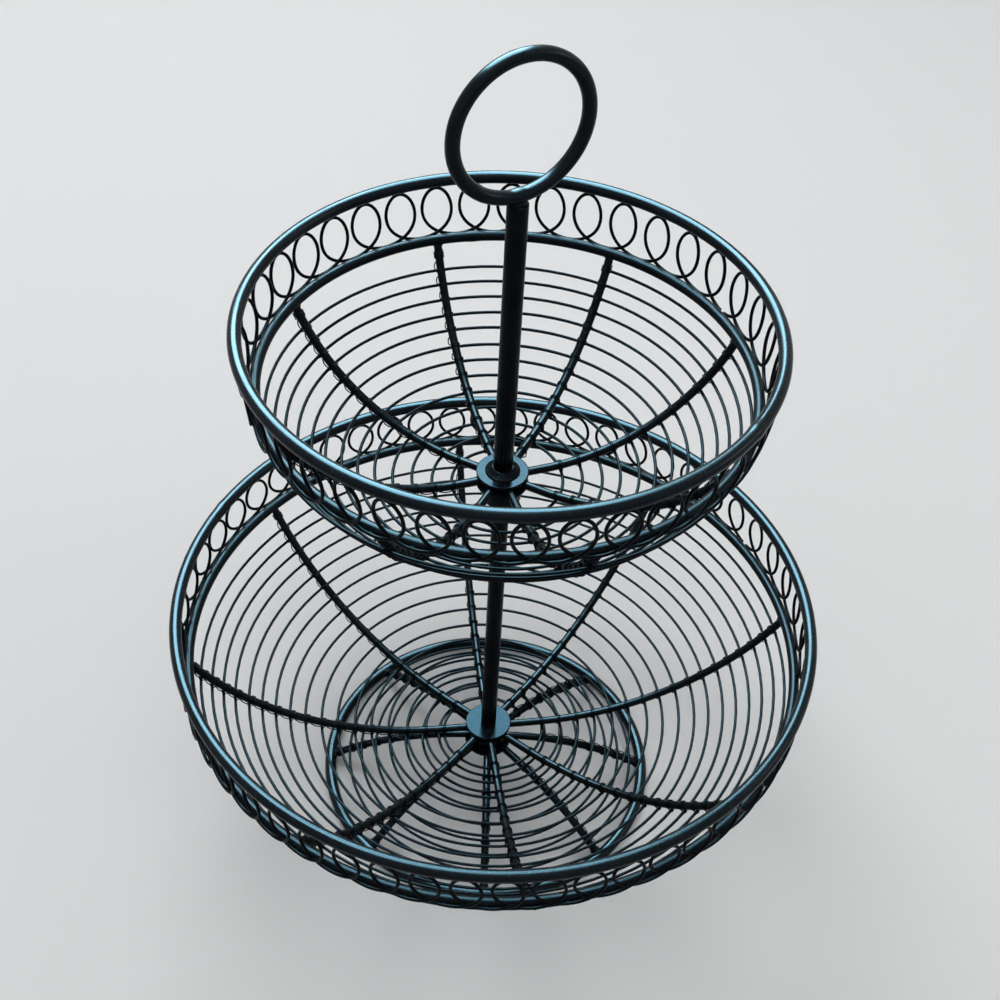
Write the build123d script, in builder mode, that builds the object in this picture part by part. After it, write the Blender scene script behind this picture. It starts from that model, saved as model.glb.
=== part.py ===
from build123d import *
from math import atan2, copysign, cos, pi, radians, sin
import os

os.makedirs("parts", exist_ok=True)

# Two wire bowls on a central pole, over a wound wire foot, with a carrying ring on top.
# Millimetres, +Z up. The origin is the centre of the foot ring, on the floor.
# The carrying ring stands in the XZ plane.

# Wire diameters
RIM_WIRE = 6.0
FOOT_RING_WIRE = 6.0
CARRY_RING_WIRE = 6.0
SECOND_RING_WIRE = 5.0
SPOKE_WIRE = 4.0
TRIM_WIRE = 1.6
WINDING_WIRE = 1.5

# Clearances: between wires that are welded together, round a screw or stud, and between
# two ends of thin wire that meet
SEAT = 0.2
SCREW_PLAY = 0.1
WIRE_JOINT_GAP = 0.6

# Foot
FOOT_RADIUS = 84.8
FOOT_RISE = 22.3
FOOT_LEVEL_RADIUS = 10.0
FOOT_SPOKE_AZIMUTH = 15.4
FOOT_WINDING_START = 22.0
FOOT_WINDING_TURNS = 7

# Lower bowl
LOWER_RIM_RADIUS = 155.0
LOWER_DEPTH = 69.4
LOWER_BAND = 26.1
LOWER_BAND_INSET = 3.8
LOWER_LEVEL_RADIUS = 24.6
LOWER_SPOKE_AZIMUTH = 23.5
LOWER_LOOPS = 54
LOWER_TURNS = 17
LOWER_INNER_TURNS = 9

# Upper bowl
UPPER_RIM_RADIUS = 114.1
UPPER_DEPTH = 57.6
UPPER_BAND = 28.4
UPPER_BAND_INSET = 6.4
UPPER_LEVEL_RADIUS = 19.7
UPPER_SPOKE_AZIMUTH = 33.9
UPPER_LOOPS = 39
UPPER_TURNS = 13

# What both bowls share
SPOKES = 8
SPOKE_ROOT_RADIUS = 6.2
SPOKE_AIM = 0.8
WINDING_START = 20.0
WINDING_END_MARGIN = 9.0
WINDING_CLOSING = 0.15
LOOP_SWING = 0.613
LOOP_LAP = 1.75

# Hubs, poles and what joins them
HUB_RADIUS = 12.0
HUB_DISC = 1.5
SPACER_RADIUS = 10.0
SPACER_HEIGHT = 3.6
COLLAR_RADIUS = 9.0
COLLAR_HEIGHT = 9.0
FLANGE_RADIUS = 8.0
FLANGE_HEIGHT = 2.5
LOWER_POLE_DIAMETER = 8.0
LOWER_POLE_LENGTH = 164.9
UPPER_POLE_DIAMETER = 9.0
UPPER_POLE_LENGTH = 138.9
STUD_DIAMETER = 5.0
STUD_REACH = 12.0
SCREW_HEAD_FLATS = 8.0
SCREW_HEAD_HEIGHT = 3.5
CARRY_RING_RADIUS = 29.9

# Straight chords that stand for each curve, and sides of each section
HOOP_CHORDS = 72
CARRY_RING_CHORDS = 40
TURN_CHORDS = 24
LOOP_CHORDS = 8
SPOKE_CHORDS = 6
HOOP_SIDES = 6
CARRY_RING_SIDES = 8
SPOKE_SIDES = 6
FINE_SIDES = 3
DISC_SIDES = 36
BORE_SIDES = 16
GAP_SAMPLES = 6


def polar(radius, azimuth, height):
    """A point at this radius, azimuth (radians) and height."""
    return Vector(radius * cos(azimuth), radius * sin(azimuth), height)


def keep(part, name):
    """Name a finished piece and write its file."""
    part.label = name
    export_step(part, f"parts/{name}.step")


def wire(points, diameter, sides, up=(0, 0, 1), closed=False):
    """Wire that runs straight from point to point, with a flat of its section facing up."""
    with BuildPart() as bent_wire:
        with BuildLine() as path:
            Polyline(points, close=closed)
        along = path.line % 0
        with BuildSketch(Plane(origin=path.line @ 0, x_dir=along.cross(Vector(up)), z_dir=along)):
            RegularPolygon(diameter / 2, sides, rotation=90 - 180 / sides)
        sweep(transition=Transition.RIGHT)
    return bent_wire.part


def hoop(radius, height, diameter):
    """Level ring of wire round the pole's axis."""
    corners = [polar(radius, 2 * pi * k / HOOP_CHORDS, height) for k in range(HOOP_CHORDS)]
    return wire(corners, diameter, HOOP_SIDES, closed=True)


def least_gap(points, diameter, near, far):
    """Smallest clearance between stretches of one wire that are near to far chords apart."""
    fine = []
    for start, end in zip(points, points[1:]):
        fine += [start + (end - start) * (k / GAP_SAMPLES) for k in range(GAP_SAMPLES)]
    gaps = []
    for i, here in enumerate(fine):
        for there in fine[i + near * GAP_SAMPLES:i + far * GAP_SAMPLES]:
            gaps.append((there - here).length)
    return min(gaps) - diameter


class Profile:
    """Half section of a bowl or foot: level out of the hub, then one arc to the ring it meets.

    Lengths are measured along it from the pole's axis. An offset is to its convex side.
    """

    def __init__(self, hub_height, level_radius, end_radius, end_height):
        run = end_radius - level_radius
        rise = end_height - hub_height
        self.hub_height = hub_height
        self.level = level_radius
        self.way = copysign(1, rise)
        self.arc = (run ** 2 + rise ** 2) / (2 * abs(rise))
        self.end_angle = atan2(run, self.arc - abs(rise))
        self.length = level_radius + self.arc * self.end_angle

    def point(self, length, azimuth, offset=0.0):
        angle = max(0.0, length - self.level) / self.arc
        radius = min(length, self.level) + (self.arc + offset) * sin(angle)
        height = self.hub_height + self.way * (self.arc - (self.arc + offset) * cos(angle))
        return polar(radius, azimuth, height)


def spokes(name, profile, first_azimuth, ring_wire, aim):
    """Eight spokes, each from the hub to the ring that it is butt-welded to."""
    end = profile.length - ring_wire / 2 - SEAT - aim * cos(profile.end_angle)
    for number in range(SPOKES):
        azimuth = radians(first_azimuth) + 2 * pi * number / SPOKES
        points = [profile.point(SPOKE_ROOT_RADIUS, azimuth)]
        for k in range(SPOKE_CHORDS + 1):
            length = profile.level + (end - profile.level) * k / SPOKE_CHORDS
            points.append(profile.point(length, azimuth))
        keep(wire(points, SPOKE_WIRE, SPOKE_SIDES), f"{name}_spoke_{number + 1}")


def winding(name, profile, start, turns, first_azimuth, inner_turns=0):
    """Wire wound out in a spiral along the convex side of the spokes.

    It is one length, or two that meet end to end at a spoke after the inner turns.
    """
    offset = (SPOKE_WIRE + WINDING_WIRE) / 2 + SEAT
    run = profile.length - WINDING_END_MARGIN - start
    points = []
    for k in range(turns * TURN_CHORDS + 1):
        share = k / (turns * TURN_CHORDS)
        length = start + run * share * (1 + WINDING_CLOSING * (1 - share))
        azimuth = radians(first_azimuth) + 2 * pi * k / TURN_CHORDS
        points.append(profile.point(length, azimuth, offset))
    gap = least_gap(points, WINDING_WIRE, TURN_CHORDS // 2, TURN_CHORDS * 3 // 2)
    print(f"{name}_winding: {turns} turns, least gap between turns {gap:.2f} mm")
    if not inner_turns:
        keep(wire(points, WINDING_WIRE, FINE_SIDES), f"{name}_winding")
        return
    joint = inner_turns * TURN_CHORDS
    keep(wire(points[:joint + 1], WINDING_WIRE, FINE_SIDES), f"{name}_winding_inner")
    onward = (points[joint + 1] - points[joint]).normalized()
    outer = [points[joint] + onward * WIRE_JOINT_GAP] + points[joint + 1:]
    keep(wire(outer, WINDING_WIRE, FINE_SIDES), f"{name}_winding_outer")


def looped_trim(name, ring_radius, ring_height, rim_radius, rim_height, loops):
    """One wire that loops its way round the band between the second ring and the rim.

    Each loop stands on the second ring's outer side, reaches up under the rim, and crosses
    itself just above the second ring, one strand in front of the other. It swings to either
    side by LOOP_SWING of the pitch, and in and out by LOOP_LAP.
    """
    low_radius = ring_radius + (SECOND_RING_WIRE + TRIM_WIRE) / 2 + SEAT
    band_rise = rim_height - (RIM_WIRE + TRIM_WIRE) / 2 - SEAT - ring_height
    pitch = 2 * pi * low_radius / loops
    swing = LOOP_SWING * pitch
    last_turn = 2 * pi * (loops - WIRE_JOINT_GAP / pitch)
    points = []
    for k in range(loops * LOOP_CHORDS + 1):
        turn = last_turn * k / (loops * LOOP_CHORDS)
        share = (1 - cos(turn)) / 2
        radius = low_radius + (rim_radius - low_radius) * share + LOOP_LAP * sin(turn)
        azimuth = (pitch * turn / (2 * pi) + swing * sin(turn)) / low_radius
        points.append(polar(radius, azimuth, ring_height + band_rise * share))
    gap = least_gap(points, TRIM_WIRE, LOOP_CHORDS // 2, LOOP_CHORDS * 3 // 2)
    print(f"{name}_looped_trim: {loops} loops, least gap where they cross {gap:.2f} mm")
    keep(wire(points, TRIM_WIRE, FINE_SIDES), f"{name}_looped_trim")


def disc(name, radius, bottom, height, bore):
    """Round plate or collar on the pole's axis, with a bore for the screw or stud."""
    with BuildPart() as plate:
        with BuildSketch(Plane.XY.offset(bottom)):
            RegularPolygon(radius, DISC_SIDES)
            RegularPolygon(bore, BORE_SIDES, major_radius=False, mode=Mode.SUBTRACT)
        extrude(amount=height)
    keep(plate.part, name)


# Heights and radii, stacked up from the floor
flat_share = cos(pi / HOOP_SIDES)
foot_ring_height = FOOT_RING_WIRE / 2 * flat_share
foot_spoke_height = foot_ring_height + FOOT_RISE
foot_disc_bottom = foot_spoke_height - SPOKE_WIRE / 2 - SEAT - HUB_DISC
spacer_bottom = foot_spoke_height + SPOKE_WIRE / 2 + SEAT
lower_spoke_height = spacer_bottom + SPACER_HEIGHT + SEAT + SPOKE_WIRE / 2
lower_disc_bottom = lower_spoke_height + SPOKE_WIRE / 2 + SEAT
lower_pole_bottom = lower_disc_bottom + HUB_DISC
lower_pole_top = lower_pole_bottom + LOWER_POLE_LENGTH
upper_plate_bottom = lower_pole_top + COLLAR_HEIGHT
upper_spoke_height = upper_plate_bottom + HUB_DISC + SEAT + SPOKE_WIRE / 2
upper_disc_bottom = upper_spoke_height + SPOKE_WIRE / 2 + SEAT
flange_bottom = upper_disc_bottom + HUB_DISC
upper_pole_bottom = flange_bottom + FLANGE_HEIGHT
upper_pole_top = upper_pole_bottom + UPPER_POLE_LENGTH
carry_ring_height = upper_pole_top + SEAT + CARRY_RING_WIRE / 2 + CARRY_RING_RADIUS

lower_second_radius = LOWER_RIM_RADIUS - LOWER_BAND_INSET
lower_second_height = lower_spoke_height + LOWER_DEPTH
lower_rim_height = lower_second_height + LOWER_BAND
upper_second_radius = UPPER_RIM_RADIUS - UPPER_BAND_INSET
upper_second_height = upper_spoke_height + UPPER_DEPTH
upper_rim_height = upper_second_height + UPPER_BAND

foot_profile = Profile(foot_spoke_height, FOOT_LEVEL_RADIUS, FOOT_RADIUS, foot_ring_height)
lower_profile = Profile(
    lower_spoke_height, LOWER_LEVEL_RADIUS, lower_second_radius + SPOKE_AIM, lower_second_height
)
upper_profile = Profile(
    upper_spoke_height, UPPER_LEVEL_RADIUS, upper_second_radius + SPOKE_AIM, upper_second_height
)

# Foot: a ring on the floor under a shallow wound dome
keep(hoop(FOOT_RADIUS, foot_ring_height, FOOT_RING_WIRE), "foot_ring")
spokes("foot", foot_profile, FOOT_SPOKE_AZIMUTH, FOOT_RING_WIRE, 0)
winding("foot", foot_profile, FOOT_WINDING_START, FOOT_WINDING_TURNS, FOOT_SPOKE_AZIMUTH)

# Lower bowl
keep(hoop(LOWER_RIM_RADIUS, lower_rim_height, RIM_WIRE), "lower_rim")
keep(hoop(lower_second_radius, lower_second_height, SECOND_RING_WIRE), "lower_second_ring")
spokes("lower", lower_profile, LOWER_SPOKE_AZIMUTH, SECOND_RING_WIRE, SPOKE_AIM)
winding(
    "lower", lower_profile, WINDING_START, LOWER_TURNS, LOWER_SPOKE_AZIMUTH, LOWER_INNER_TURNS
)
looped_trim(
    "lower", lower_second_radius, lower_second_height, LOWER_RIM_RADIUS, lower_rim_height, LOWER_LOOPS
)

# Upper bowl
keep(hoop(UPPER_RIM_RADIUS, upper_rim_height, RIM_WIRE), "upper_rim")
keep(hoop(upper_second_radius, upper_second_height, SECOND_RING_WIRE), "upper_second_ring")
spokes("upper", upper_profile, UPPER_SPOKE_AZIMUTH, SECOND_RING_WIRE, SPOKE_AIM)
winding("upper", upper_profile, WINDING_START, UPPER_TURNS, UPPER_SPOKE_AZIMUTH)
looped_trim(
    "upper", upper_second_radius, upper_second_height, UPPER_RIM_RADIUS, upper_rim_height, UPPER_LOOPS
)

# Lower hub: the bowl's spokes and the foot's spokes, each clamped between flat discs
bore = STUD_DIAMETER / 2 + SCREW_PLAY
disc("foot_disc", HUB_RADIUS, foot_disc_bottom, HUB_DISC, bore)
disc("hub_spacer", SPACER_RADIUS, spacer_bottom, SPACER_HEIGHT, bore)
disc("lower_hub_disc", HUB_RADIUS, lower_disc_bottom, HUB_DISC, bore)

# Upper hub: collar, disc, spokes, disc and the flange at the upper pole's foot
disc("hub_collar", COLLAR_RADIUS, lower_pole_top, COLLAR_HEIGHT, bore)
disc("upper_hub_plate", HUB_RADIUS, upper_plate_bottom, HUB_DISC, bore)
disc("upper_hub_disc", HUB_RADIUS, upper_disc_bottom, HUB_DISC, bore)
disc("pole_flange", FLANGE_RADIUS, flange_bottom, FLANGE_HEIGHT, bore)

# Lower pole, with a hole in each end for the screw and the stud
with BuildPart() as lower_pole:
    with BuildSketch(Plane.XY.offset(lower_pole_bottom)):
        Circle(LOWER_POLE_DIAMETER / 2)
    extrude(amount=LOWER_POLE_LENGTH)
    with Locations(lower_pole.faces().sort_by(Axis.Z)[0], lower_pole.faces().sort_by(Axis.Z)[-1]):
        Hole(bore, depth=STUD_REACH + SCREW_PLAY)
keep(lower_pole.part, "lower_pole")

# Upper pole, with a hole in its foot for the stud
with BuildPart() as upper_pole:
    with BuildSketch(Plane.XY.offset(upper_pole_bottom)):
        Circle(UPPER_POLE_DIAMETER / 2)
    extrude(amount=UPPER_POLE_LENGTH)
    with Locations(upper_pole.faces().sort_by(Axis.Z)[0]):
        Hole(bore, depth=STUD_REACH + SCREW_PLAY)
keep(upper_pole.part, "upper_pole")

# Stud through the upper hub, into both poles
with BuildPart() as joining_stud:
    with BuildSketch(Plane.XY.offset(lower_pole_top - STUD_REACH)):
        Circle(STUD_DIAMETER / 2)
    extrude(amount=upper_pole_bottom - lower_pole_top + 2 * STUD_REACH)
keep(joining_stud.part, "joining_stud")

# Hexagon-head screw from below, through the foot's disc into the lower pole
with BuildPart() as foot_screw:
    with BuildSketch(Plane.XY.offset(foot_disc_bottom - SCREW_HEAD_HEIGHT)):
        RegularPolygon(SCREW_HEAD_FLATS / 2, 6, major_radius=False)
    extrude(amount=SCREW_HEAD_HEIGHT)
    with BuildSketch(Plane.XY.offset(foot_disc_bottom)):
        Circle(STUD_DIAMETER / 2)
    extrude(amount=lower_pole_bottom + STUD_REACH - foot_disc_bottom)
keep(foot_screw.part, "foot_screw")

# Carrying ring, upright, butt-welded to the upper pole's top
ring_corners = []
for k in range(CARRY_RING_CHORDS):
    ring_angle = 2 * pi * k / CARRY_RING_CHORDS
    across = CARRY_RING_RADIUS * cos(ring_angle)
    ring_corners.append(Vector(across, 0, carry_ring_height + CARRY_RING_RADIUS * sin(ring_angle)))
keep(wire(ring_corners, CARRY_RING_WIRE, CARRY_RING_SIDES, up=(0, 1, 0), closed=True), "carry_ring")
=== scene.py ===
import bmesh
import bpy
from math import atan2, cos, pi, radians, sin
from mathutils import Matrix, Vector


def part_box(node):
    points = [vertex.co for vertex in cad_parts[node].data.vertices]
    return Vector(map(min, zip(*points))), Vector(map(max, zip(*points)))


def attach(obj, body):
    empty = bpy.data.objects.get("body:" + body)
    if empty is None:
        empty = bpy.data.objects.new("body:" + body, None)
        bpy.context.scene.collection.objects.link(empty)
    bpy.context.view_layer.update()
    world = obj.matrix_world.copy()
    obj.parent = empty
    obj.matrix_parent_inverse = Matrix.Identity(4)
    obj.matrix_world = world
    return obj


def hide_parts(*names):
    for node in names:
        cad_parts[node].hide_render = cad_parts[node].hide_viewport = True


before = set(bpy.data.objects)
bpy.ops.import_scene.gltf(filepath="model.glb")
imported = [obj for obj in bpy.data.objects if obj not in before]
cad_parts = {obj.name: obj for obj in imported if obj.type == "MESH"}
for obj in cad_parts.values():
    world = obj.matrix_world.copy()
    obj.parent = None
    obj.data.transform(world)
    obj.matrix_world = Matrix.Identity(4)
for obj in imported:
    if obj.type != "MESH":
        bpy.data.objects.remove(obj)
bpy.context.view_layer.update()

# The view: from above and in front, looking down into both bowls.
# The camera is held a little askew, as the photographer held it.
CAMERA_PLACE = Vector((-0.2693, -0.4422, 0.6909))
CAMERA_LENS = 55.73
CAMERA_TURN = radians(58.711)
CAMERA_DOWN = radians(43.515)
CAMERA_ROLL = radians(3.235)

level_part = cos(CAMERA_DOWN)
look = Vector((cos(CAMERA_TURN) * level_part, sin(CAMERA_TURN) * level_part, -sin(CAMERA_DOWN)))
level_right = look.cross(Vector((0, 0, 1))).normalized()
level_up = level_right.cross(look)
camera_right = level_right * cos(CAMERA_ROLL) + level_up * sin(CAMERA_ROLL)
camera_up = level_up * cos(CAMERA_ROLL) - level_right * sin(CAMERA_ROLL)
camera_data = bpy.data.cameras.new("view_camera")
camera_data.lens = CAMERA_LENS
camera = bpy.data.objects.new("view_camera", camera_data)
camera_turn = Matrix((camera_right, camera_up, -look)).transposed().to_4x4()
camera.matrix_world = Matrix.Translation(CAMERA_PLACE) @ camera_turn
bpy.context.scene.collection.objects.link(camera)
bpy.context.scene.camera = camera
bpy.context.scene.view_settings.view_transform = "Standard"

# The floor: a plain pale surface that the foot ring stands on.
# Far from the basket the camera sees it fade into the white backdrop, so that no edge shows.
FLOOR_HALF = 40.0
FADE_START = 1.3
FADE_END = 3.0
FLOOR_COLOUR = (0.78, 0.785, 0.79, 1)
FLOOR_ROUGHNESS = 0.7

floor_mesh = bpy.data.meshes.new("floor")
floor_corners = [(-FLOOR_HALF, -FLOOR_HALF, 0), (FLOOR_HALF, -FLOOR_HALF, 0)]
floor_corners += [(FLOOR_HALF, FLOOR_HALF, 0), (-FLOOR_HALF, FLOOR_HALF, 0)]
floor_mesh.from_pydata(floor_corners, [], [(0, 1, 2, 3)])
floor = bpy.data.objects.new("floor", floor_mesh)
bpy.context.scene.collection.objects.link(floor)
floor_finish = bpy.data.materials.new("floor_finish")
floor_finish.use_nodes = True
floor_shader = floor_finish.node_tree.nodes["Principled BSDF"]
floor_shader.inputs["Base Color"].default_value = FLOOR_COLOUR
floor_shader.inputs["Roughness"].default_value = FLOOR_ROUGHNESS
floor_shader.inputs["Specular IOR Level"].default_value = 0.0
floor_nodes = floor_finish.node_tree.nodes
floor_links = floor_finish.node_tree.links
floor_place = floor_nodes.new("ShaderNodeTexCoord")
floor_reach = floor_nodes.new("ShaderNodeVectorMath")
floor_reach.operation = "LENGTH"
floor_links.new(floor_place.outputs["Object"], floor_reach.inputs[0])
floor_fade = floor_nodes.new("ShaderNodeMapRange")
floor_fade.interpolation_type = "SMOOTHSTEP"
floor_fade.inputs["From Min"].default_value = FADE_START
floor_fade.inputs["From Max"].default_value = FADE_END
floor_links.new(floor_reach.outputs["Value"], floor_fade.inputs["Value"])
floor_rays = floor_nodes.new("ShaderNodeLightPath")
floor_seen = floor_nodes.new("ShaderNodeMath")
floor_seen.operation = "MULTIPLY"
floor_links.new(floor_fade.outputs["Result"], floor_seen.inputs[0])
floor_links.new(floor_rays.outputs["Is Camera Ray"], floor_seen.inputs[1])
floor_white = floor_nodes.new("ShaderNodeEmission")
floor_blend = floor_nodes.new("ShaderNodeMixShader")
floor_links.new(floor_seen.outputs[0], floor_blend.inputs[0])
floor_links.new(floor_shader.outputs[0], floor_blend.inputs[1])
floor_links.new(floor_white.outputs[0], floor_blend.inputs[2])
floor_links.new(floor_blend.outputs[0], floor_nodes["Material Output"].inputs["Surface"])
floor_mesh.materials.append(floor_finish)

# The light: a white room with a soft window behind the basket on its left, a weak panel
# overhead and another on the right. The tall cool pane shows only as a reflection in gloss.
WORLD_LIGHT = 0.48
LIGHT_AIM = Vector((0, 0, 0.2))
# Each: turn round the pole, lift, distance, size, power, colour, whether it lights matt faces.
LIGHTS = {
    "window": (radians(84), radians(50), 1.9, (1.0, 1.0), 15.0, (0.94, 0.98, 1.0), True),
    "overhead": (radians(-120), radians(72), 1.9, (1.1, 1.1), 6.0, (1.0, 1.0, 1.0), True),
    "right_panel": (radians(-28), radians(24), 1.8, (0.5, 0.5), 3.0, (1.0, 0.99, 0.97), True),
    "window_pane": (radians(79), radians(60), 2.0, (1.5, 2.1), 800.0, (0.48, 0.85, 1.0), False),
}

world = bpy.data.worlds.new("room")
bpy.context.scene.world = world
world.use_nodes = True
room = world.node_tree
background = room.nodes["Background"]
rays = room.nodes.new("ShaderNodeLightPath")
seen = room.nodes.new("ShaderNodeMath")
seen.operation = "ADD"
seen.use_clamp = True
mirrored = room.nodes.new("ShaderNodeMath")
mirrored.operation = "ADD"
room.links.new(rays.outputs["Is Glossy Ray"], mirrored.inputs[0])
room.links.new(rays.outputs["Is Transmission Ray"], mirrored.inputs[1])
room.links.new(rays.outputs["Is Camera Ray"], seen.inputs[0])
room.links.new(mirrored.outputs[0], seen.inputs[1])
strength = room.nodes.new("ShaderNodeMapRange")
strength.inputs["To Min"].default_value = WORLD_LIGHT
strength.inputs["To Max"].default_value = 1.0
room.links.new(seen.outputs[0], strength.inputs["Value"])
room.links.new(strength.outputs["Result"], background.inputs["Strength"])
background.inputs["Color"].default_value = (1, 1, 1, 1)

for light_name, (turn, lift, away, (wide, tall), power, colour, spreads) in LIGHTS.items():
    light_data = bpy.data.lights.new(light_name, "AREA")
    light_data.shape = "RECTANGLE"
    light_data.size = wide
    light_data.size_y = tall
    light_data.energy = power
    light_data.color = colour
    light = bpy.data.objects.new(light_name, light_data)
    toward = Vector((cos(turn) * cos(lift), sin(turn) * cos(lift), sin(lift)))
    light.location = LIGHT_AIM + toward * away
    light.rotation_euler = (-toward).to_track_quat("-Z", "Y").to_euler()
    light.visible_diffuse = spreads
    bpy.context.scene.collection.objects.link(light)

# Paint film, shared by every painted piece: near-black dipped paint on steel.
# It has a slight orange peel, fine dust on what faces up and a few worn specks.
PEEL_DISTANCE = 0.0002
PATCHES_PER_METRE = 45.0
PATCH_EDGES = (0.4, 0.7)
PATCH_COVER = 0.3
PATCH_COLOUR = (0.008, 0.011, 0.015, 1)
PATCH_ROUGHNESS_EDGES = (0.3, 0.75)
PATCH_ROUGHNESS = (-0.04, 0.07)
PATCH_HEIGHT = 0.6
SPECKS_PER_METRE = 620.0
SPECK_EDGES = (0.56, 0.74)
DUST_SLOPES = (0.25, 0.95)
DUST_COLOUR = (0.12, 0.125, 0.13, 1)
DUST_ROUGHNESS = 0.5
CHIPS_PER_METRE = 240.0
CHIP_EDGES = (0.69, 0.73)
WORN_COLOUR = (0.10, 0.09, 0.08, 1)
WORN_ROUGHNESS = 0.3
WORN_DEPTH = 1.5

film = bpy.data.node_groups.new("paint_film", "ShaderNodeTree")
for socket_name, way, socket_kind in (
    ("Paint", "INPUT", "NodeSocketColor"),
    ("Base Roughness", "INPUT", "NodeSocketFloat"),
    ("Peel Size", "INPUT", "NodeSocketFloat"),
    ("Dust", "INPUT", "NodeSocketFloat"),
    ("Wear", "INPUT", "NodeSocketFloat"),
    ("Colour", "OUTPUT", "NodeSocketColor"),
    ("Roughness", "OUTPUT", "NodeSocketFloat"),
    ("Height", "OUTPUT", "NodeSocketFloat"),
):
    film.interface.new_socket(socket_name, in_out=way, socket_type=socket_kind)
film_in = film.nodes.new("NodeGroupInput")
film_out = film.nodes.new("NodeGroupOutput")


def film_noise(size, detail):
    """Noise over the piece's own coordinates, at this many features a metre."""
    where = film.nodes.new("ShaderNodeTexCoord")
    noise = film.nodes.new("ShaderNodeTexNoise")
    noise.inputs["Detail"].default_value = detail
    film.links.new(where.outputs["Object"], noise.inputs["Vector"])
    if isinstance(size, float):
        noise.inputs["Scale"].default_value = size
    else:
        film.links.new(size, noise.inputs["Scale"])
    return noise.outputs["Fac"]


def film_range(value, edges, to=(0.0, 1.0)):
    """Map a value between two edges to another range, clamped."""
    node = film.nodes.new("ShaderNodeMapRange")
    film.links.new(value, node.inputs["Value"])
    for socket, number in zip(("From Min", "From Max", "To Min", "To Max"), (*edges, *to)):
        node.inputs[socket].default_value = number
    return node.outputs["Result"]


def film_math(operation, first, second):
    """One sum or product in the paint film, of a field and a field or number."""
    node = film.nodes.new("ShaderNodeMath")
    node.operation = operation
    film.links.new(first, node.inputs[0])
    if isinstance(second, float):
        node.inputs[1].default_value = second
    else:
        film.links.new(second, node.inputs[1])
    return node.outputs[0]


def film_mix(mask, under, over):
    """Lay a plain colour over another where the mask is."""
    node = film.nodes.new("ShaderNodeMix")
    node.data_type = "RGBA"
    film.links.new(mask, node.inputs["Factor"])
    film.links.new(under, node.inputs[6])
    node.inputs[7].default_value = over
    return node.outputs[2]


peel = film_noise(film_in.outputs["Peel Size"], 2.0)
patches = film_noise(PATCHES_PER_METRE, 3.0)
specks = film_noise(SPECKS_PER_METRE, 4.0)
chips = film_noise(CHIPS_PER_METRE, 5.0)
facing = film.nodes.new("ShaderNodeNewGeometry")
facing_parts = film.nodes.new("ShaderNodeSeparateXYZ")
film.links.new(facing.outputs["Normal"], facing_parts.inputs[0])
upward = film_range(facing_parts.outputs["Z"], DUST_SLOPES)
dust = film_math("MULTIPLY", film_range(specks, SPECK_EDGES), upward)
dust = film_math("MULTIPLY", dust, film_in.outputs["Dust"])
worn = film_math("MULTIPLY", film_range(chips, CHIP_EDGES), film_in.outputs["Wear"])
cover = film_range(patches, PATCH_EDGES, (0.0, PATCH_COVER))
colour = film_mix(cover, film_in.outputs["Paint"], PATCH_COLOUR)
colour = film_mix(dust, colour, DUST_COLOUR)
colour = film_mix(worn, colour, WORN_COLOUR)
film.links.new(colour, film_out.inputs["Colour"])
uneven_gloss = film_range(patches, PATCH_ROUGHNESS_EDGES, PATCH_ROUGHNESS)
roughness = film_math("ADD", film_in.outputs["Base Roughness"], uneven_gloss)
roughness = film_math("ADD", roughness, film_math("MULTIPLY", dust, DUST_ROUGHNESS))
roughness = film_math("ADD", roughness, film_math("MULTIPLY", worn, WORN_ROUGHNESS))
film.links.new(roughness, film_out.inputs["Roughness"])
height = film_math("ADD", peel, film_math("MULTIPLY", patches, PATCH_HEIGHT))
height = film_math("SUBTRACT", height, film_math("MULTIPLY", worn, WORN_DEPTH))
film.links.new(height, film_out.inputs["Height"])


def paint(name, colour, roughness, peel_size, peel_depth, dust, wear, shine, painted_reflection_tint):
    """A painted finish that lays the paint film on a Principled shader."""
    finish = bpy.data.materials.new(name)
    finish.use_nodes = True
    nodes = finish.node_tree.nodes
    links = finish.node_tree.links
    shader = nodes["Principled BSDF"]
    coating = nodes.new("ShaderNodeGroup")
    coating.node_tree = film
    coating.inputs["Paint"].default_value = colour
    coating.inputs["Base Roughness"].default_value = roughness
    coating.inputs["Peel Size"].default_value = peel_size
    coating.inputs["Dust"].default_value = dust
    coating.inputs["Wear"].default_value = wear
    links.new(coating.outputs["Colour"], shader.inputs["Base Color"])
    links.new(coating.outputs["Roughness"], shader.inputs["Roughness"])
    bump = nodes.new("ShaderNodeBump")
    bump.inputs["Strength"].default_value = peel_depth
    bump.inputs["Distance"].default_value = PEEL_DISTANCE
    links.new(coating.outputs["Height"], bump.inputs["Height"])
    links.new(bump.outputs["Normal"], shader.inputs["Normal"])
    shader.inputs["Specular IOR Level"].default_value = shine
    # The specular tint paints a sky colour into every reflection on this paint.
    shader.inputs["Specular Tint"].default_value = painted_reflection_tint
    return finish


# Rims, second rings and foot ring: steel wire rolled into hoops and butt-welded.
# Each swells slightly at its weld, but for the foot ring, which is ground flush to stand
# level. The tools for drawing wire that follow are shared by all of it.
RIM_WIRE = 0.006
SECOND_RING_WIRE = 0.005
FOOT_RING_WIRE = 0.006
HOOP_STEPS = 480
HOOP_SIDES = 20
WELD_SWELL = 0.09
WELD_HALF_LENGTH = 0.0045
HOOP_WELDS = {
    "upper_rim": radians(-62.7), "lower_rim": radians(127), "upper_second_ring": radians(70),
    "lower_second_ring": radians(-150), "foot_ring": radians(15),
}
# Painted reflection: a cool sky blue laid into the wires' gloss, so every highlight on them comes
# out cyan whatever the lamp's colour.
WIRE_PAINTED_SKY_TINT = (0.66, 0.88, 1.0, 1)

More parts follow.
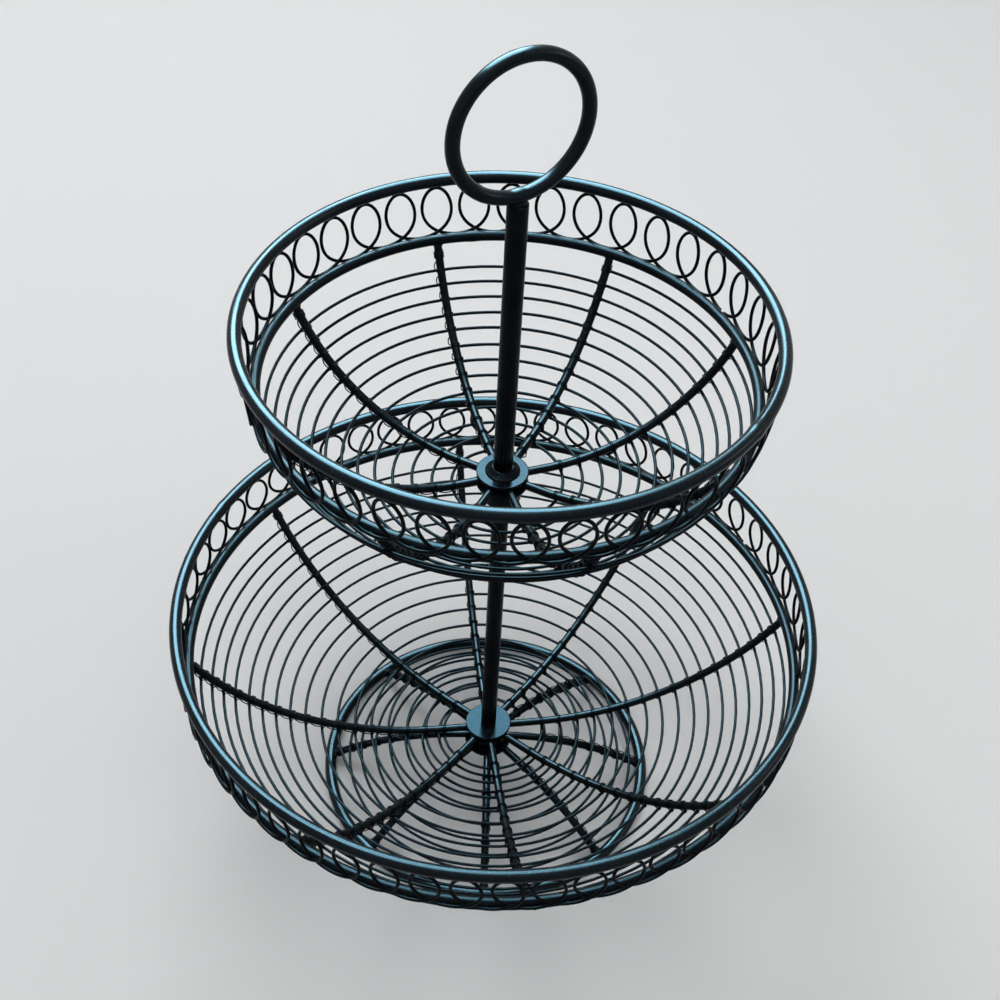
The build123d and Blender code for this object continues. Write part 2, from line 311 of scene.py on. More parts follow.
ring_paint = paint(
    "ring_paint", (0.0015, 0.0026, 0.0042, 1), roughness=0.24, peel_size=850.0, peel_depth=0.03,
    dust=0.12, wear=0.06, shine=0.10, painted_reflection_tint=WIRE_PAINTED_SKY_TINT,
)
second_ring_paint = paint(
    "second_ring_paint", (0.0015, 0.0022, 0.0034, 1), roughness=0.30, peel_size=850.0,
    peel_depth=0.05, dust=0.12, wear=0.06, shine=0.055, painted_reflection_tint=WIRE_PAINTED_SKY_TINT,
)


class Field:
    """A number that changes along a wire, worked out by Math nodes in a Geometry Nodes tree."""

    def __init__(self, tree, socket):
        self.tree = tree
        self.socket = socket

    def math(self, operation, *others):
        node = self.tree.nodes.new("ShaderNodeMath")
        node.operation = operation
        for socket, value in zip(node.inputs, (self, *others)):
            plug(self.tree, socket, value)
        return Field(self.tree, node.outputs[0])

    def __add__(self, other):
        return self.math("ADD", other)

    def __sub__(self, other):
        return self.math("SUBTRACT", other)

    def __mul__(self, other):
        return self.math("MULTIPLY", other)

    def __truediv__(self, other):
        return self.math("DIVIDE", other)

    def minus_from(self, other):
        return (self * -1.0) + other

    def eased(self):
        """From 0 to 1 as this goes from 0 to 1, slow at both ends."""
        return ((self * pi).math("COSINE") * -0.5) + 0.5


def plug(tree, socket, value):
    """Link a field to a socket, or set a plain number on it."""
    if isinstance(value, Field):
        tree.links.new(value.socket, socket)
    else:
        socket.default_value = value


def start_tree(name, sizes):
    """A new tree with a float input for each size, a paint input and one mesh output."""
    tree = bpy.data.node_groups.new(name, "GeometryNodeTree")
    for size in sizes:
        tree.interface.new_socket(size, in_out="INPUT", socket_type="NodeSocketFloat")
    tree.interface.new_socket("Paint", in_out="INPUT", socket_type="NodeSocketMaterial")
    tree.interface.new_socket("Mesh", in_out="OUTPUT", socket_type="NodeSocketGeometry")
    inputs = tree.nodes.new("NodeGroupInput")
    return tree, {size: Field(tree, inputs.outputs[size]) for size in (*sizes, "Paint")}


def chain(tree, node_type, geometry, settings=None):
    """Add a node, feed it geometry and set its other inputs. Gives its first output."""
    node = tree.nodes.new(node_type)
    if geometry:
        tree.links.new(geometry, node.inputs[0])
    for name, value in (settings or {}).items():
        plug(tree, node.inputs[name], value)
    return node.outputs[0]


def position(tree, across, along, up):
    """Put three fields or numbers together as a place, a turn or a scale."""
    node = tree.nodes.new("ShaderNodeCombineXYZ")
    for socket, value in zip(node.inputs, (across, along, up)):
        plug(tree, socket, value)
    return Field(tree, node.outputs[0])


def scatter(tree, number, seed):
    """A random number from -1 to 1, fixed for each whole number and seed."""
    node = tree.nodes.new("FunctionNodeRandomValue")
    plug(tree, node.inputs["ID"], number)
    plug(tree, node.inputs["Seed"], seed)
    return Field(tree, node.outputs[1]) * 2.0 - 1.0


def index_of(tree):
    """The number of each point in a tree's line of points."""
    return Field(tree, tree.nodes.new("GeometryNodeInputIndex").outputs[0])


def draw_wire(tree, curve, diameter, sides, swell=1.0):
    """Run a round section along a curve, with capped ends."""
    section = chain(tree, "GeometryNodeCurvePrimitiveCircle", None, {
        "Resolution": sides, "Radius": diameter * 0.5
    })
    node = tree.nodes.new("GeometryNodeCurveToMesh")
    tree.links.new(curve, node.inputs["Curve"])
    tree.links.new(section, node.inputs["Profile Curve"])
    node.inputs["Fill Caps"].default_value = True
    plug(tree, node.inputs["Scale"], swell)
    return node.outputs["Mesh"]


def finish_tree(tree, geometry, sizes):
    """End a tree: smooth, real geometry with its paint."""
    smooth = chain(tree, "GeometryNodeSetShadeSmooth", geometry)
    real = chain(tree, "GeometryNodeRealizeInstances", smooth)
    painted = chain(tree, "GeometryNodeSetMaterial", real, {"Material": sizes["Paint"]})
    out = tree.nodes.new("NodeGroupOutput")
    tree.links.new(painted, out.inputs["Mesh"])


def grow(name, tree, values):
    """Run a tree with these inputs and keep what it makes as a plain mesh piece."""
    piece = bpy.data.objects.new(name, bpy.data.meshes.new(name))
    bpy.context.scene.collection.objects.link(piece)
    modifier = piece.modifiers.new("grow", "NODES")
    modifier.node_group = tree
    for item in tree.interface.items_tree:
        if item.in_out == "INPUT":
            modifier[item.identifier] = values[item.name]
    graph = bpy.context.evaluated_depsgraph_get()
    grown = bpy.data.meshes.new_from_object(piece.evaluated_get(graph))
    piece.modifiers.clear()
    piece.data = grown
    return piece


def seat(piece, nodes):
    """Ride a piece on the basket in place of its CAD nodes."""
    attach(piece, "root")
    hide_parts(*nodes)


hoop_tree, hoop = start_tree(
    "wire_hoop", ("Radius", "Height", "Wire", "Weld Turn", "Weld Swell", "Stand Up")
)
bend = chain(hoop_tree, "GeometryNodeCurvePrimitiveCircle", None, {
    "Resolution": HOOP_STEPS, "Radius": hoop["Radius"]
})
step = index_of(hoop_tree)
steps_from_weld = step.math("MINIMUM", step.minus_from(HOOP_STEPS))
from_weld = steps_from_weld * hoop["Radius"] * (2 * pi / HOOP_STEPS)
weld_share = (from_weld / WELD_HALF_LENGTH).math("MINIMUM", 1.0)
weld_swell = ((weld_share * pi).math("COSINE") + 1.0) * 0.5 * hoop["Weld Swell"] + 1.0
rolled = draw_wire(hoop_tree, bend, hoop["Wire"], HOOP_SIDES, weld_swell)
turned = chain(hoop_tree, "GeometryNodeTransform", rolled, {
    "Rotation": position(hoop_tree, 0.0, 0.0, hoop["Weld Turn"])
})
placed = chain(hoop_tree, "GeometryNodeTransform", turned, {
    "Rotation": position(hoop_tree, hoop["Stand Up"], 0.0, 0.0),
    "Translation": position(hoop_tree, 0.0, 0.0, hoop["Height"]),
})
finish_tree(hoop_tree, placed, hoop)


def ring_size(node, wire):
    """Centre line radius and height of a level hoop, read from its CAD box."""
    low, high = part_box(node)
    return high[0] - wire / 2, (low[2] + high[2]) / 2


for hoop_name, hoop_wire in (
    ("upper_rim", RIM_WIRE), ("lower_rim", RIM_WIRE), ("upper_second_ring", SECOND_RING_WIRE),
    ("lower_second_ring", SECOND_RING_WIRE), ("foot_ring", FOOT_RING_WIRE),
):
    hoop_radius, hoop_height = ring_size(hoop_name, hoop_wire)
    # No wire dips below the floor, even where its CAD section is a little flat.
    hoop_piece = grow(hoop_name + "_wire", hoop_tree, {
        "Radius": hoop_radius,
        "Height": max(hoop_height, hoop_wire / 2),
        "Wire": hoop_wire,
        "Weld Turn": HOOP_WELDS[hoop_name],
        "Weld Swell": 0.0 if hoop_name == "foot_ring" else WELD_SWELL,
        "Stand Up": 0.0,
        "Paint": second_ring_paint if "second" in hoop_name else ring_paint,
    })
    seat(hoop_piece, [hoop_name])

# Carrying ring: one hoop of steel wire as thick as the rims', stood upright on the pole.
# Its butt weld is at the bottom, where it is welded to the pole's top.
CARRY_RING_WIRE = 0.006
CARRY_RING_WELD = radians(-90)
UPRIGHT = radians(90)

carry_low, carry_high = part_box("carry_ring")
carry_radius = carry_high[0] - CARRY_RING_WIRE / 2
carry_height = (carry_low[2] + carry_high[2]) / 2
carry_piece = grow("carry_ring_wire", hoop_tree, {
    "Radius": carry_radius, "Height": carry_height, "Wire": CARRY_RING_WIRE,
    "Weld Turn": CARRY_RING_WELD, "Weld Swell": WELD_SWELL, "Stand Up": UPRIGHT,
    "Paint": ring_paint,
})
seat(carry_piece, ["carry_ring"])

# Looped trim: one thin wire in each bowl, coiled into overlapping loops round the band.
# It is spot-welded under the rim and to the outside of the second ring.
TRIM_WIRE = 0.0016
TRIM_STEPS = 44
TRIM_SIDES = 8
TRIM_JOINT_GAP = 0.0006
LOOP_SWING = 0.624
LOOP_ROUNDING = 0.06
LOOP_LAP = 0.0011
TRIM_LOOPS = {"lower": 54, "upper": 39}

fine_paint = paint(
    "fine_wire_paint", (0.0015, 0.0021, 0.0030, 1), roughness=0.30, peel_size=1600.0,
    peel_depth=0.04, dust=0.1, wear=0.05, shine=0.028, painted_reflection_tint=WIRE_PAINTED_SKY_TINT,
)


def round_pole(radius, azimuth, height):
    """A place at this distance from the pole's axis, turned round it and at this height."""
    return position(
        azimuth.tree, radius * azimuth.math("COSINE"), radius * azimuth.math("SINE"), height
    )


def wire_through(tree, count, place, diameter, sides):
    """Draw a wire through this many points, each put at its own place."""
    line = chain(tree, "GeometryNodeMeshLine", None, {"Count": count})
    moved = chain(tree, "GeometryNodeSetPosition", line, {"Position": place})
    curve = chain(tree, "GeometryNodeMeshToCurve", moved)
    return draw_wire(tree, curve, diameter, sides)


trim_tree, trim = start_tree("looped_trim", (
    "Count", "Low Radius", "High Radius", "Low Height", "Rise", "Pitch", "Swing", "Lap", "Wire",
    "Last Turn",
))
turn = index_of(trim_tree) / (trim["Count"] - 1.0) * trim["Last Turn"]
share = (turn.math("COSINE") * -0.5) + 0.5
side = turn.math("SINE")
radius = trim["Low Radius"] + (trim["High Radius"] - trim["Low Radius"]) * share
radius = radius + trim["Lap"] * side
sway = side + (turn * 2.0).math("SINE") * LOOP_ROUNDING
azimuth = (trim["Pitch"] * turn / (2 * pi) + trim["Swing"] * sway) / trim["Low Radius"]
place = round_pole(radius, azimuth, trim["Low Height"] + trim["Rise"] * share)
looped = wire_through(trim_tree, trim["Count"], place, trim["Wire"], TRIM_SIDES)
finish_tree(trim_tree, looped, trim)

for bowl, loops in TRIM_LOOPS.items():
    ring_radius, ring_height = ring_size(bowl + "_second_ring", SECOND_RING_WIRE)
    rim_radius, rim_height = ring_size(bowl + "_rim", RIM_WIRE)
    low_radius = ring_radius + (SECOND_RING_WIRE + TRIM_WIRE) / 2
    pitch = 2 * pi * low_radius / loops
    trim_piece = grow(bowl + "_looped_wire", trim_tree, {
        "Count": float(loops * TRIM_STEPS + 1),
        "Low Radius": low_radius,
        "High Radius": rim_radius,
        "Low Height": ring_height,
        "Rise": rim_height - (RIM_WIRE + TRIM_WIRE) / 2 - ring_height,
        "Pitch": pitch,
        "Swing": LOOP_SWING * pitch,
        "Lap": LOOP_LAP,
        "Wire": TRIM_WIRE,
        "Last Turn": 2 * pi * (loops - TRIM_JOINT_GAP / pitch),
        "Paint": fine_paint,
    })
    seat(trim_piece, [bowl + "_looped_trim"])

# Spokes: eight rods in each bowl and in the foot, bent to one level run and one arc.
# They are pressed between the hub's discs and butt-welded under the ring they reach.
TIERS = ("foot", "lower", "upper")
SPOKE_WIRE = 0.004
SPOKE_SIDES = 14
SPOKE_STEPS = 56
SPOKE_ROOT = 0.0062
SPOKE_AIM = 0.0008
SPOKES = 8
SPOKE_SEAT = 0.0002
SPOKE_TURN = {"foot": radians(15.4), "lower": radians(23.5), "upper": radians(33.9)}
LEVEL_RADIUS = {"foot": 0.010, "lower": 0.0246, "upper": 0.0197}
END_RING = {"foot": "foot_ring", "lower": "lower_second_ring", "upper": "upper_second_ring"}
END_WIRE = {"foot": FOOT_RING_WIRE, "lower": SECOND_RING_WIRE, "upper": SECOND_RING_WIRE}
DISC_ABOVE = {"lower": "lower_hub_disc", "upper": "upper_hub_disc"}

spoke_paint = paint(
    "spoke_paint", (0.0015, 0.0020, 0.0028, 1), roughness=0.25, peel_size=1100.0,
    peel_depth=0.07, dust=0.15, wear=0.08, shine=0.062, painted_reflection_tint=WIRE_PAINTED_SKY_TINT,
)


def spoke_height(tier):
    """Height of the spokes' centre line at the hub."""
    if tier == "foot":
        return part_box("foot_disc")[1][2] + SPOKE_SEAT + SPOKE_WIRE / 2
    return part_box(DISC_ABOVE[tier])[0][2] - SPOKE_SEAT - SPOKE_WIRE / 2


def bend_of(tier):
    """The spokes' bend: hub height, level radius, arc radius, its way and its whole length."""
    end_radius, end_height = ring_size(END_RING[tier], END_WIRE[tier])
    if tier != "foot":
        end_radius += SPOKE_AIM
    hub = spoke_height(tier)
    run = end_radius - LEVEL_RADIUS[tier]
    rise = end_height - hub
    arc = (run ** 2 + rise ** 2) / (2 * abs(rise))
    end_angle = atan2(run, arc - abs(rise))
    return {
        "Hub": hub, "Level": LEVEL_RADIUS[tier], "Arc": arc, "Way": 1.0 if rise > 0 else -1.0,
        "Length": LEVEL_RADIUS[tier] + arc * end_angle,
    }


BEND = ("Hub", "Level", "Arc", "Way", "Length")


def on_bend(sizes, length, azimuth, outward=0.0, sideways=0.0):
    """A place this far along a spoke, off to its convex side and sideways round the pole."""
    angle = (length - sizes["Level"]).math("MAXIMUM", 0.0) / sizes["Arc"]
    reach = sizes["Arc"] + outward
    radius = length.math("MINIMUM", sizes["Level"]) + reach * angle.math("SINE")
    height = sizes["Hub"] + sizes["Way"] * (sizes["Arc"] - reach * angle.math("COSINE"))
    return round_pole(radius, azimuth + radius.math("POWER", -1.0) * sideways, height)


spoke_tree, spoke = start_tree("spokes", (*BEND, "Root", "Wire", "First Turn"))
along = spoke["Root"] + (spoke["Length"] - spoke["Root"]) * (index_of(spoke_tree) / SPOKE_STEPS)
place = on_bend(spoke, along, spoke["First Turn"])
rod = wire_through(spoke_tree, SPOKE_STEPS + 1, place, spoke["Wire"], SPOKE_SIDES)
stations = chain(spoke_tree, "GeometryNodeMeshLine", None, {"Count": SPOKES, "Offset": (0, 0, 0)})
fan_turn = index_of(spoke_tree) * (2 * pi / SPOKES)
fan = spoke_tree.nodes.new("GeometryNodeInstanceOnPoints")
spoke_tree.links.new(stations, fan.inputs["Points"])
spoke_tree.links.new(rod, fan.inputs["Instance"])
plug(spoke_tree, fan.inputs["Rotation"], position(spoke_tree, 0.0, 0.0, fan_turn))
finish_tree(spoke_tree, fan.outputs[0], spoke)

for tier in TIERS:
    spoke_piece = grow(tier + "_spokes", spoke_tree, {
        **bend_of(tier), "Root": SPOKE_ROOT, "Wire": SPOKE_WIRE, "First Turn": SPOKE_TURN[tier],
        "Paint": spoke_paint,
    })
    seat(spoke_piece, [f"{tier}_spoke_{n + 1}" for n in range(SPOKES)])

# Windings: one thin wire in each bowl and in the foot, wound outward in a spiral.
# It lies on the convex side of the spokes, a little uneven, with closer turns near the ring.
WINDING_WIRE = 0.0015
WINDING_SIDES = 10
ARC_STEPS = 12
WINDING_CLOSING = 0.15
WINDING_END_MARGIN = 0.009
WINDING_START = {"foot": 0.022, "lower": 0.020, "upper": 0.020}
WINDING_TURNS = {"foot": 7, "lower": 17, "upper": 13}
WINDING_STRAY = 0.00035
SPIRAL = ("Start", "Turns", "Closing", "End Margin", "First Turn", "Stray", "Seed")


def crossing(sizes, number):
    """How far along the spokes the winding is, this many spokes after its start."""
    gone = number / (sizes["Turns"] * float(SPOKES))
    spread = sizes["Closing"] * gone.minus_from(1.0) + 1.0
    run = sizes["Length"] - sizes["End Margin"] - sizes["Start"]
    return sizes["Start"] + run * gone * spread


def spiral_of(tier, seed):
    """The winding's sizes, shared with the wire that binds it."""
    return {
        **bend_of(tier), "Start": WINDING_START[tier], "Turns": float(WINDING_TURNS[tier]),
        "Closing": WINDING_CLOSING, "End Margin": WINDING_END_MARGIN,
        "First Turn": SPOKE_TURN[tier], "Stray": WINDING_STRAY, "Seed": float(seed),
    }


wind_tree, wind = start_tree("spoke_winding", (*BEND, *SPIRAL, "Wire", "Beside"))
count = wind["Turns"] * float(SPOKES * ARC_STEPS) + 1.0
passed = index_of(wind_tree) / ARC_STEPS
last = passed.math("FLOOR")
between_spokes = (passed - last).eased()
stray_here = scatter(wind_tree, last, wind["Seed"])
stray_next = scatter(wind_tree, last + 1.0, wind["Seed"])
stray = (stray_here + (stray_next - stray_here) * between_spokes) * wind["Stray"]
azimuth = wind["First Turn"] + passed * (2 * pi / SPOKES)
place = on_bend(wind, crossing(wind, passed) + stray, azimuth, wind["Beside"])
wound = wire_through(wind_tree, count, place, wind["Wire"], WINDING_SIDES)
finish_tree(wind_tree, wound, wind)

for seed, tier in enumerate(TIERS):
    winding_piece = grow(tier + "_wound_wire", wind_tree, {
        **spiral_of(tier, seed), "Wire": WINDING_WIRE, "Beside": (SPOKE_WIRE + WINDING_WIRE) / 2,
        "Paint": fine_paint,
    })
    lengths = [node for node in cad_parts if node.startswith(tier + "_winding")]
    seat(winding_piece, lengths)

# Binding: a hair-thin wire on each spoke that holds the winding to it at every crossing.
# It passes over the spoke on both sides of the winding, runs slackly on to the next turn
# of it and is tied off at the ring.
BINDING_WIRE = 0.0006
BINDING_SIDES = 6
BINDING_STEPS = 12
TIE_TURNS = 4
TIE_STEP = 0.0008
HOLD = 0.0005
SLACK = {"foot": 0.0003, "lower": 0.0006, "upper": 0.0009}
SLACK_UNDER = 0.0001
RUN_SPREAD = 0.45
SPOKE_SPREAD = 0.4
HUB_TIGHTENING = 0.7
DRAWS_PER_SPOKE = 100.0
SPOKE_DRAW = 7.0

bind_tree, bind = start_tree("spoke_binding", (
    *BEND, *SPIRAL, "Wire", "Spoke Wire", "Wound Wire", "Hold", "Slack"
))
bound_turns = bind["Turns"] * 2.0
points_each = (bound_turns + float(TIE_TURNS)) * float(BINDING_STEPS) + 1.0
bind_line = chain(bind_tree, "GeometryNodeMeshLine", None, {"Count": points_each * float(SPOKES)})
index = index_of(bind_tree)
on_spoke = ((index + 0.5) / points_each).math("FLOOR")
step = index - on_spoke * points_each
turn = ((step + 0.5) / BINDING_STEPS).math("FLOOR")
within = step / BINDING_STEPS - turn


def pass_over(turn):
    """How far along the spoke this turn of the binding passes over its top."""
    bound = turn.math("MINIMUM", bound_turns)
    number = (bound * 0.5).math("FLOOR")
    after = bound - number * 2.0
    crossed = number * float(SPOKES) + on_spoke
    stray = scatter(bind_tree, crossed, bind["Seed"]) * bind["Stray"]
    held = bind["Hold"] * (after * 2.0 - 1.0)
    return crossing(bind, crossed) + stray + held + (turn - bound) * TIE_STEP


# The first half of a turn goes over the spoke's top and the rest below it: tightly where it
# binds the winding, and slackly where it travels to the next crossing.
over = within.math("MINIMUM", 0.5)
under = ((within - 0.5) * 2.0).math("MAXIMUM", 0.0)
in_use = (bound_turns - turn).math("MINIMUM", 1.0).math("MAXIMUM", 0.0)
odd = turn - (turn * 0.5).math("FLOOR") * 2.0
travels = in_use * odd
binds = in_use * odd.minus_from(1.0)
around = (over * (2 * pi)).minus_from(1.5 * pi) - under.math("POWER", travels + 1.0) * pi
run_draw = scatter(bind_tree, on_spoke * DRAWS_PER_SPOKE + turn, bind["Seed"])
spoke_draw = scatter(bind_tree, on_spoke + SPOKE_DRAW, bind["Seed"])
loose = bind["Slack"] * travels * (run_draw * RUN_SPREAD + (1 - RUN_SPREAD))
loose = loose * (spoke_draw * SPOKE_SPREAD + (1 - SPOKE_SPREAD))
loose = loose * (turn / bound_turns * HUB_TIGHTENING + (1 - HUB_TIGHTENING))
hug = (bind["Spoke Wire"] + bind["Wire"]) * 0.5
below = hug + bind["Wound Wire"] * binds + travels * SLACK_UNDER
facing_out = around.math("COSINE")
flattened = facing_out.math("MAXIMUM", 0.0).math("POWER", 0.5)
outward = hug * facing_out.math("MINIMUM", 0.0) + below * flattened
sideways = (hug + loose * (under * pi).math("SINE")) * around.math("SINE")
start_length = pass_over(turn)
length = start_length + (pass_over(turn + 1.0) - start_length) * under.eased()
azimuth = bind["First Turn"] + on_spoke * (2 * pi / SPOKES)
bound = chain(bind_tree, "GeometryNodeSetPosition", bind_line, {
    "Position": on_bend(bind, length, azimuth, outward, sideways)
})
# The line of points is cut where one spoke's wire ends and the next one's starts.
parted = bind_tree.nodes.new("GeometryNodeDeleteGeometry")
parted.domain = "EDGE"
parted.mode = "EDGE_FACE"
bind_tree.links.new(bound, parted.inputs["Geometry"])
spoke_end = ((index + 1.0) / points_each).math("FLOOR") - on_spoke
plug(bind_tree, parted.inputs["Selection"], spoke_end)
bound_curve = chain(bind_tree, "GeometryNodeMeshToCurve", parted.outputs[0])
finish_tree(bind_tree, draw_wire(bind_tree, bound_curve, bind["Wire"], BINDING_SIDES), bind)

for seed, tier in enumerate(TIERS):
    binding_piece = grow(tier + "_binding_wire", bind_tree, {
        **spiral_of(tier, seed), "Wire": BINDING_WIRE, "Spoke Wire": SPOKE_WIRE,
        "Wound Wire": WINDING_WIRE, "Hold": HOLD, "Slack": SLACK[tier], "Paint": fine_paint,
    })
    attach(binding_piece, "root")

# Hub discs, spacer and collar: round turned steel pieces stacked on the pole's axis.
# Their edges are slightly rounded and they carry a thicker, glossier coat than the wire.
LATHE_STEPS = 96
ROUNDING_STEPS = 4
DISC_EDGE = 0.0005
DISCS = ("foot_disc", "lower_hub_disc", "upper_hub_plate", "upper_hub_disc")
COLLAR_EDGES = {"hub_spacer": 0.0006, "hub_collar": 0.0012}
# Painted reflection: a stronger sky blue laid into the discs' gloss, so their flat tops mirror as
# blue under any lamp.
DISC_PAINTED_SKY_TINT = (0.42, 0.76, 1.0, 1)

disc_paint = paint(
    "disc_paint", (0.0030, 0.0045, 0.0065, 1), roughness=0.18, peel_size=500.0, peel_depth=0.05,
    dust=0.3, wear=0.04, shine=0.036, painted_reflection_tint=DISC_PAINTED_SKY_TINT,
)
rod_paint = paint(
    "rod_paint", (0.0014, 0.0018, 0.0025, 1), roughness=0.22, peel_size=700.0, peel_depth=0.05,
    dust=0.1, wear=0.05, shine=0.048, painted_reflection_tint=WIRE_PAINTED_SKY_TINT,
)


def rounded(corners, radius):
    """Round each inner corner of an outline of (radius, height) points."""
    outline = [Vector(corners[0])]
    for before, corner, after in zip(corners, corners[1:], corners[2:]):
        corner = Vector(corner)
        into = (Vector(before) - corner).normalized()
        out = (Vector(after) - corner).normalized()
        for k in range(ROUNDING_STEPS + 1):
            share = k / ROUNDING_STEPS
            outline.append(corner + into * radius * (1 - share) ** 2 + out * radius * share ** 2)
    outline.append(Vector(corners[-1]))
    return outline


def lathe(name, outline, finish, nodes):
    """Turn an outline that starts and ends on the axis, from the bottom up."""
    mesh = bpy.data.meshes.new(name)
    shape = bmesh.new()
    turns = [2 * pi * k / LATHE_STEPS for k in range(LATHE_STEPS)]
    rows = []
    for radius, level in outline[1:-1]:
        rows.append([
            shape.verts.new((radius * cos(turn), radius * sin(turn), level)) for turn in turns
        ])
    for lower, upper in zip(rows, rows[1:]):
        for k in range(LATHE_STEPS):
            after = (k + 1) % LATHE_STEPS
            shape.faces.new((lower[k], lower[after], upper[after], upper[k]))
    shape.faces.new(rows[0][::-1])
    shape.faces.new(rows[-1])
    for face in shape.faces:
        face.smooth = len(face.verts) == 4
    shape.to_mesh(mesh)
    shape.free()
    mesh.materials.append(finish)
    piece = bpy.data.objects.new(name, mesh)
    bpy.context.scene.collection.objects.link(piece)
    seat(piece, nodes)


def turned_disc(node, edge, finish):
    """A round plate as wide and tall as its CAD node, with rounded edges."""
    low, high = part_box(node)
    radius = high[0]
    outline = rounded([(0, low[2]), (radius, low[2]), (radius, high[2]), (0, high[2])], edge)
    lathe(node + "_turned", outline, finish, [node])


for disc_node in DISCS:
    turned_disc(disc_node, DISC_EDGE, disc_paint)
for collar_node, collar_edge in COLLAR_EDGES.items():
    turned_disc(collar_node, collar_edge, rod_paint)

# Flange: the flared steel foot of the upper pole, which spreads its load on the hub disc.
# Its side is a steep, slightly hollow cone, painted with the pole.
FLARE_STEPS = 10
FLARE_LIP = 0.0003
FLARE_HOLLOW = 0.3
FLARE_TOP_LEDGE = 0.0002

flange_low, flange_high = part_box("pole_flange")
flange_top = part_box("upper_pole")[1][0] + FLARE_TOP_LEDGE
flare = [Vector((0, flange_low[2])), Vector((flange_high[0], flange_low[2]))]
for k in range(FLARE_STEPS + 1):
    share = k / FLARE_STEPS
    flare.append(Vector((
        flange_high[0] + (flange_top - flange_high[0]) * share * (1 + FLARE_HOLLOW * (1 - share)),
        flange_low[2] + FLARE_LIP + (flange_high[2] - flange_low[2] - FLARE_LIP) * share,
    )))
flare.append(Vector((0, flange_high[2])))
lathe("pole_flange_turned", flare, rod_paint, ["pole_flange"])

# Poles: two straight painted steel rods, screwed together through the upper hub.
# The upper one carries the ring, which is welded to its top.
POLE_EDGE = 0.0004

for pole_node in ("lower_pole", "upper_pole"):
    turned_disc(pole_node, POLE_EDGE, rod_paint)

# Welds: small beads where spokes meet rings, trims meet rims and rings, and ring meets pole.
# They are uneven lumps of steel under the same paint.
BEAD_UNEVENNESS = 0.00035
BEAD_NOISE = 700.0
BEAD_SPREAD = 0.22
LOW_BEAD_OUT = 0.0002
RING_BEAD_SEED = 5
SPOKE_BEAD = (0.0013, 0.0026, 0.0011)
TOP_BEAD = (0.0008, 0.0011, 0.0005)
LOW_BEAD = (0.0005, 0.0014, 0.0007)
RING_BEAD = (0.0040, 0.0040, 0.0026)

bead_tree, bead = start_tree("weld_beads", (
    "Count", "Radius", "Height", "First Turn", "Across", "Along", "Tall", "Unevenness", "Seed"
))
bead_line = chain(bead_tree, "GeometryNodeMeshLine", None, {"Count": bead["Count"]})
number = index_of(bead_tree)
azimuth = bead["First Turn"] + number / bead["Count"] * (2 * pi)
bead_spots = chain(bead_tree, "GeometryNodeSetPosition", bead_line, {
    "Position": round_pole(bead["Radius"], azimuth, bead["Height"])
})
lump = chain(bead_tree, "GeometryNodeMeshIcoSphere", None, {"Radius": 1.0, "Subdivisions": 2})
grown_by = scatter(bead_tree, number, bead["Seed"]) * BEAD_SPREAD + 1.0
lumps = bead_tree.nodes.new("GeometryNodeInstanceOnPoints")
bead_tree.links.new(bead_spots, lumps.inputs["Points"])
bead_tree.links.new(lump, lumps.inputs["Instance"])
plug(bead_tree, lumps.inputs["Rotation"], position(bead_tree, 0.0, 0.0, azimuth))
plug(bead_tree, lumps.inputs["Scale"], position(
    bead_tree, bead["Across"] * grown_by, bead["Along"] * grown_by, bead["Tall"] * grown_by
))
real_lumps = chain(bead_tree, "GeometryNodeRealizeInstances", lumps.outputs[0])
ripple = bead_tree.nodes.new("ShaderNodeTexNoise")
ripple.inputs["Scale"].default_value = BEAD_NOISE
push = bead_tree.nodes.new("ShaderNodeVectorMath")
push.operation = "SCALE"
bead_tree.links.new(bead_tree.nodes.new("GeometryNodeInputNormal").outputs[0], push.inputs[0])
ripple_height = (Field(bead_tree, ripple.outputs[0]) - 0.5) * bead["Unevenness"]
plug(bead_tree, push.inputs["Scale"], ripple_height)
uneven = bead_tree.nodes.new("GeometryNodeSetPosition")
bead_tree.links.new(real_lumps, uneven.inputs["Geometry"])
bead_tree.links.new(push.outputs[0], uneven.inputs["Offset"])
finish_tree(bead_tree, uneven.outputs[0], bead)


def weld(name, count, radius, height, first_turn, size, finish, seed):
    """A round of weld beads at one height."""
    across, along, tall = size
    piece = grow(name, bead_tree, {
        "Count": float(count), "Radius": radius, "Height": height, "First Turn": first_turn,
        "Across": across, "Along": along, "Tall": tall, "Unevenness": BEAD_UNEVENNESS,
        "Seed": float(seed), "Paint": finish,
    })
    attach(piece, "root")


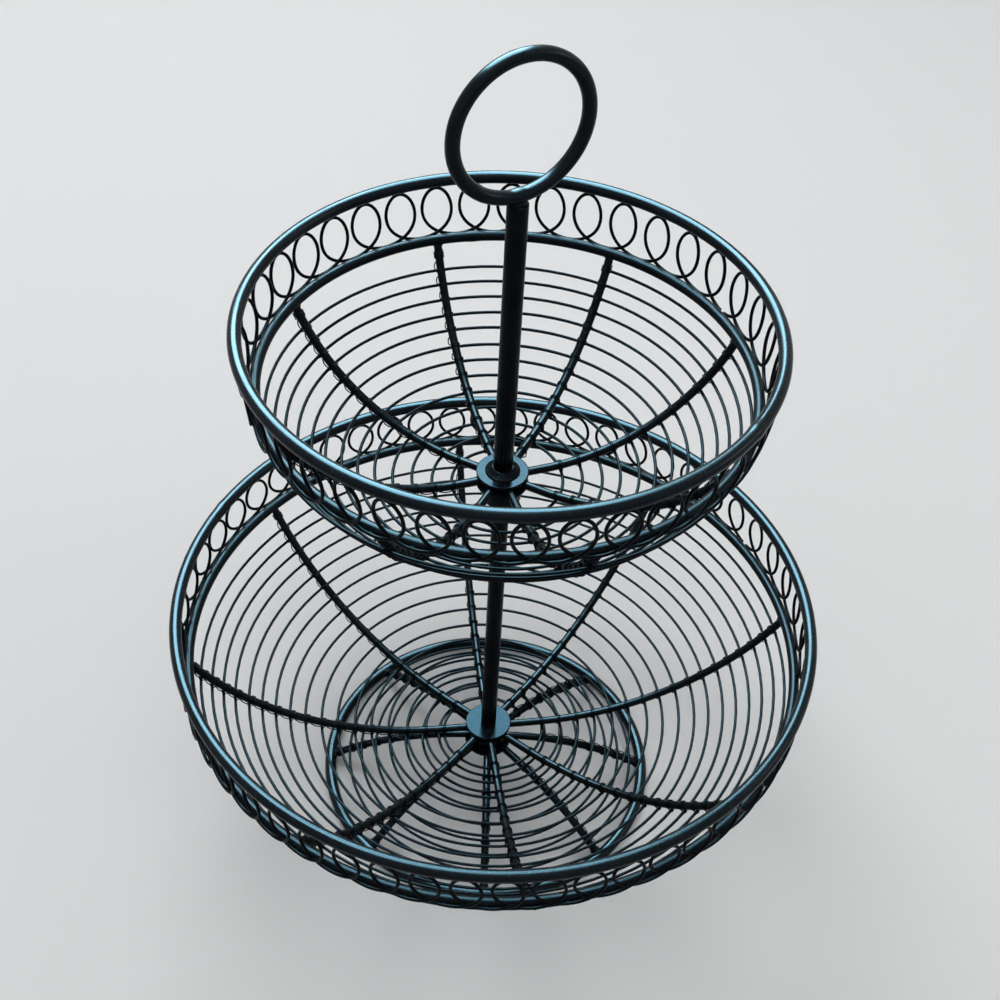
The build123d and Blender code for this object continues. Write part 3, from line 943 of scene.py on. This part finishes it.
for seed, tier in enumerate(TIERS):
    ring_radius, ring_height = ring_size(END_RING[tier], END_WIRE[tier])
    sizes = bend_of(tier)
    end_angle = (sizes["Length"] - sizes["Level"]) / sizes["Arc"]
    touch = END_WIRE[tier] / 2
    weld(
        tier + "_spoke_welds", SPOKES, ring_radius - touch * cos(end_angle),
        ring_height - sizes["Way"] * touch * sin(end_angle), SPOKE_TURN[tier], SPOKE_BEAD,
        ring_paint, seed,
    )
for seed, (bowl, loops) in enumerate(TRIM_LOOPS.items()):
    ring_radius, ring_height = ring_size(bowl + "_second_ring", SECOND_RING_WIRE)
    rim_radius, rim_height = ring_size(bowl + "_rim", RIM_WIRE)
    weld(
        bowl + "_rim_welds", loops, rim_radius, rim_height - RIM_WIRE / 2,
        pi / loops, TOP_BEAD, fine_paint, seed,
    )
    weld(
        bowl + "_ring_welds", loops, ring_radius + SECOND_RING_WIRE / 2 + LOW_BEAD_OUT, ring_height,
        0.0, LOW_BEAD, fine_paint, seed + len(TRIM_LOOPS),
    )
pole_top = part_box("upper_pole")[1][2]
weld("carry_ring_weld", 1, 0.0, pole_top, 0.0, RING_BEAD, rod_paint, RING_BEAD_SEED)

# Stud and screw: plain zinc-plated steel that holds the poles, hubs and foot together.
# Only the screw's hexagon head shows, from below.
PLATE_GRAINS_PER_METRE = 700.0
PLATE_DARK = (0.42, 0.43, 0.45, 1)
PLATE_LIGHT = (0.62, 0.62, 0.6, 1)
PLATE_ROUGHNESS = (0.28, 0.5)

plate = bpy.data.materials.new("zinc_plate")
plate.use_nodes = True
plate_nodes = plate.node_tree.nodes
plate_links = plate.node_tree.links
plate_shader = plate_nodes["Principled BSDF"]
plate_shader.inputs["Metallic"].default_value = 1.0
plate_place = plate_nodes.new("ShaderNodeTexCoord")
plate_noise = plate_nodes.new("ShaderNodeTexNoise")
plate_noise.inputs["Scale"].default_value = PLATE_GRAINS_PER_METRE
plate_noise.inputs["Detail"].default_value = 4.0
plate_links.new(plate_place.outputs["Object"], plate_noise.inputs["Vector"])
plate_ramp = plate_nodes.new("ShaderNodeValToRGB")
plate_ramp.color_ramp.elements[0].color = PLATE_DARK
plate_ramp.color_ramp.elements[1].color = PLATE_LIGHT
plate_links.new(plate_noise.outputs["Fac"], plate_ramp.inputs["Fac"])
plate_links.new(plate_ramp.outputs["Color"], plate_shader.inputs["Base Color"])
plate_rough = plate_nodes.new("ShaderNodeMapRange")
plate_rough.inputs["To Min"].default_value = PLATE_ROUGHNESS[0]
plate_rough.inputs["To Max"].default_value = PLATE_ROUGHNESS[1]
plate_links.new(plate_noise.outputs["Fac"], plate_rough.inputs["Value"])
plate_links.new(plate_rough.outputs["Result"], plate_shader.inputs["Roughness"])
for node_name in ("foot_screw", "joining_stud"):
    cad_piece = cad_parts[node_name]
    for material_slot in cad_piece.material_slots:
        material_slot.material = plate
